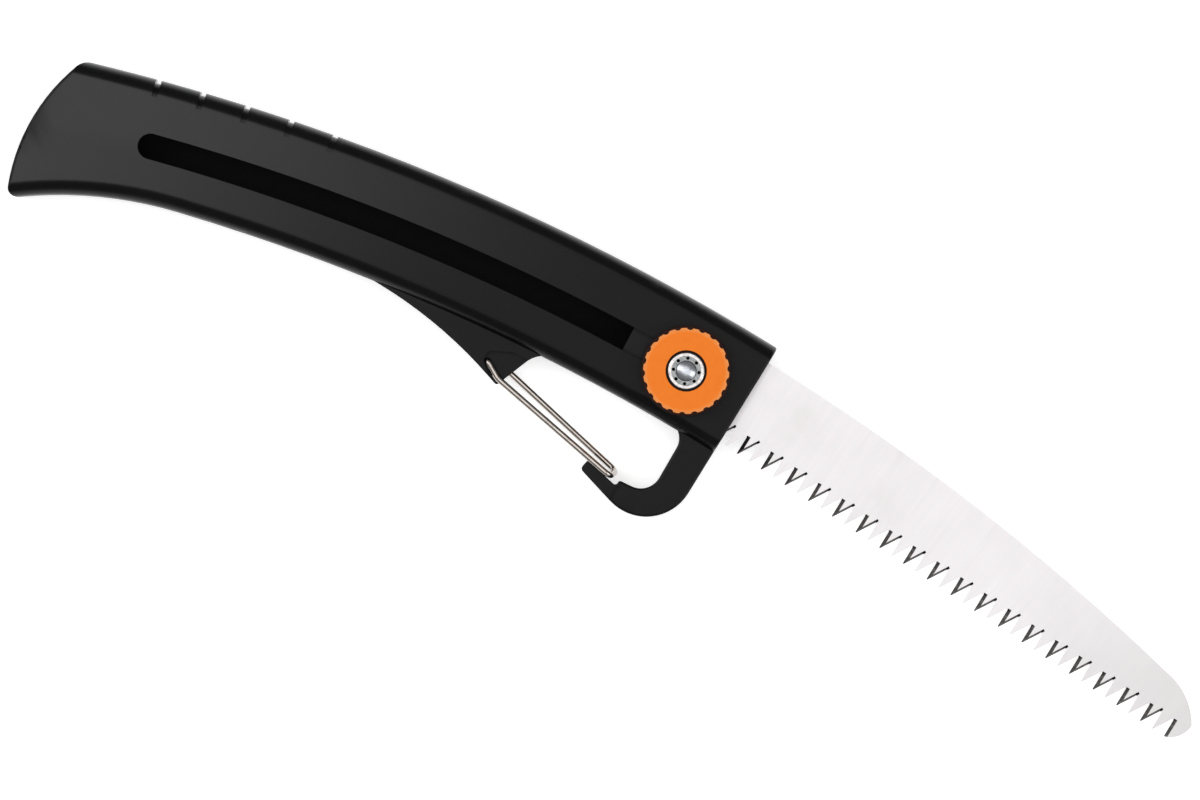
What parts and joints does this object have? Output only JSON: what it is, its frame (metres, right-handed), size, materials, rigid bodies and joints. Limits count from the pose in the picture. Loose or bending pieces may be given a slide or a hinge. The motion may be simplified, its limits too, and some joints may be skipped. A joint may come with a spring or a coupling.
{
  "type": "retractable pruning saw",
  "caption": "Pruning saw with a curved toothed blade that slides out of a two-part handle, a clamp knob in an arc slot, and a wire-gate carabiner hook at the front.",
  "frame": {"origin": "on the clamp bolt's axis, in the plane of the handle's back face", "axes": "+X points to the blade's tip, along the tangent of the guide arc at the bolt; +Y points to the spine; +Z points from the back face to the knob"},
  "size_m": [0.3711, 0.0713, 0.0229],
  "materials": {
    "handle_plastic": "satin black moulded plastic, fine texture",
    "slide_plastic": "plain black moulded plastic",
    "washer_plastic": "plain black moulded plastic",
    "knob_plastic": "bright orange moulded plastic",
    "blade_steel": "pale ground steel, fine cross brushing",
    "bolt_steel": "bright plated steel",
    "insert_steel": "bright plated steel",
    "gate_steel": "polished drawn wire",
    "screw_steel": "zinc plated steel"
  },
  "bodies": {
    "handle": {"front_shell": "handle_plastic", "rear_shell": "handle_plastic", "shell_screws": "screw_steel"},
    "carriage": {"blade": "blade_steel", "slide_pad_front": "slide_plastic", "slide_pad_rear": "slide_plastic", "pad_rivets": "screw_steel", "clamp_bolt": "bolt_steel"},
    "thrust": {"knob_washer": "washer_plastic"},
    "knob": {"knob": "knob_plastic", "knob_insert": "insert_steel"},
    "gate": {"wire_gate": "gate_steel"}
  },
  "joints": [
    {"name": "blade_slide", "type": "hinge", "parent": "handle", "child": "carriage", "pos_m": [0, -0.652, 0], "axis": [0, 0, 1], "range_deg": [0, 14.5]},
    {"name": "knob_lift", "type": "slide", "parent": "carriage", "child": "thrust", "axis": [0, 0, 1], "range_m": [0, 0.001]},
    {"name": "knob_turn", "type": "hinge", "parent": "thrust", "child": "knob", "pos_m": [0, 0, 0], "axis": [0, 0, 1], "range_deg": [0, 360]},
    {"name": "gate_swing", "type": "hinge", "parent": "handle", "child": "gate", "pos_m": [-0.0502, -0.0256, 0], "axis": [0, 0, 1], "range_deg": [0, 21], "stiffness_Nm_per_rad": 0.05, "springref_deg": -9.74}
  ],
  "couplings": [
    {"joint": "knob_turn", "follows": "knob_lift", "rad_per_m": 6283.2}
  ]
}
